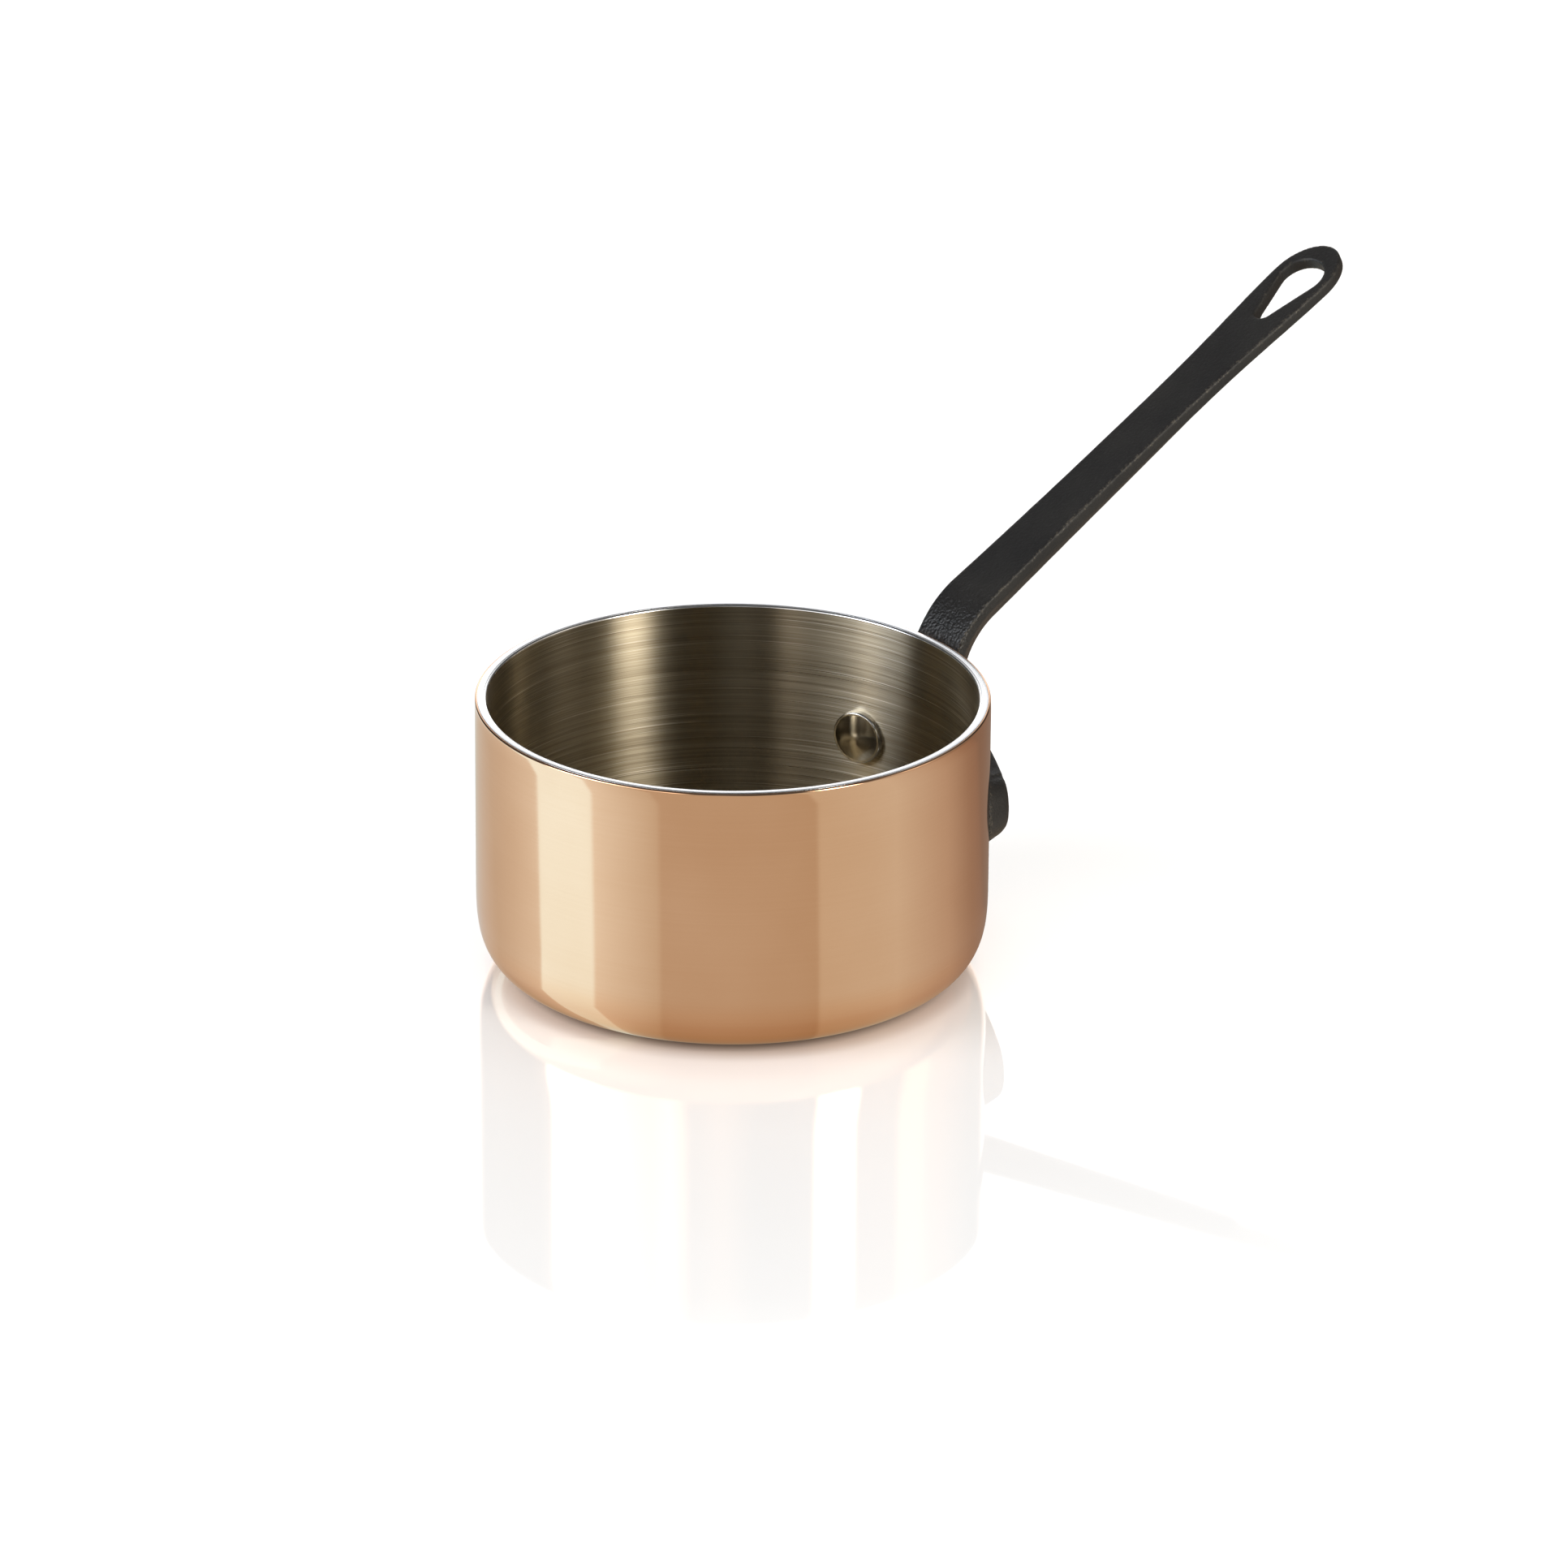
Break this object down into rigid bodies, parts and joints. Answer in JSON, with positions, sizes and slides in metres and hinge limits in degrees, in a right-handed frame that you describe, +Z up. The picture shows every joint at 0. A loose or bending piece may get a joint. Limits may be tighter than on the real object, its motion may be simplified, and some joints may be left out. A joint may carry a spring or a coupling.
{
  "type": "copper saucepan",
  "caption": "Small straight-sided clad copper saucepan with a steel lining and a long riveted cast-iron handle ending in a teardrop hanging hole.",
  "frame": {"origin": "centre of the flat underside of the base, where the pan rests", "axes": "+Z up, out of the pan's mouth; +X from the pan's axis along the handle; +Y to the left of the handle"},
  "size_m": [0.2498, 0.12, 0.136],
  "materials": {
    "copper": null,
    "aluminium_edge": "ground edge",
    "brushed_lining": "brushed round the pan",
    "cast_iron": "black, pebbled casting skin",
    "rivet_steel": "polished stainless steel"
  },
  "bodies": {
    "root": {"copper_shell": "copper", "aluminium_core": "aluminium_edge", "steel_lining": "brushed_lining", "handle": "cast_iron", "rivet_left": "rivet_steel", "rivet_right": "rivet_steel", "rivet_lower": "rivet_steel"}
  },
  "joints": []
}
